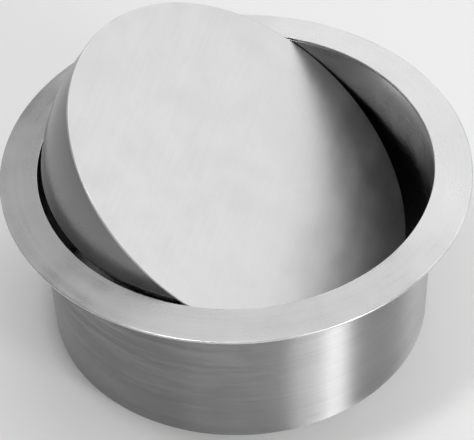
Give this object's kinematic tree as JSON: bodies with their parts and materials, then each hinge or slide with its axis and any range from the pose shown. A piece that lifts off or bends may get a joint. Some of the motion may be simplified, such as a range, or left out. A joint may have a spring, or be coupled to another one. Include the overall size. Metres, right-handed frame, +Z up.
{
  "type": "desk grommet",
  "caption": "Round stainless steel desk grommet: a shallow conical flange on a tapered sleeve, with a flat skirted lid that swings on a crosswise pin axis to take waste or cables.",
  "frame": {"origin": "centre of the sleeve's lower edge, at the lowest point of the part", "axes": "+Z up through the sleeve towards the flange; the lid's pins lie along Y; the lid's -X side stands raised at rest"},
  "size_m": [0.1906, 0.1906, 0.119],
  "materials": {
    "brushed_stainless": "fine brushed satin",
    "turned_steel": "turned, semi-bright",
    "spring_steel": "oiled spring steel",
    "nylon": "natural nylon",
    "black_rubber": "matt black rubber"
  },
  "bodies": {
    "surround": {"flange_ring": "brushed_stainless", "sleeve": "brushed_stainless", "flange_gasket": "black_rubber", "rear_pivot_pin": "turned_steel", "rear_spring_washer": "spring_steel", "rear_retaining_clip": "spring_steel", "rear_stop_stud": "turned_steel", "rear_stop_bumper": "black_rubber", "front_pivot_pin": "turned_steel", "front_spring_washer": "spring_steel", "front_retaining_clip": "spring_steel", "front_stop_stud": "turned_steel", "front_stop_bumper": "black_rubber"},
    "lid": {"lid_disc": "brushed_stainless", "left_skirt": "brushed_stainless", "right_skirt": "brushed_stainless", "rear_hinge_lug": "brushed_stainless", "rear_hinge_bush": "nylon", "front_hinge_lug": "brushed_stainless", "front_hinge_bush": "nylon"}
  },
  "joints": [
    {"name": "lid_swing", "type": "hinge", "parent": "surround", "child": "lid", "pos_m": [0, 0, 0.073], "axis": [0, 1, 0], "range_deg": [-89.8, 23]}
  ]
}
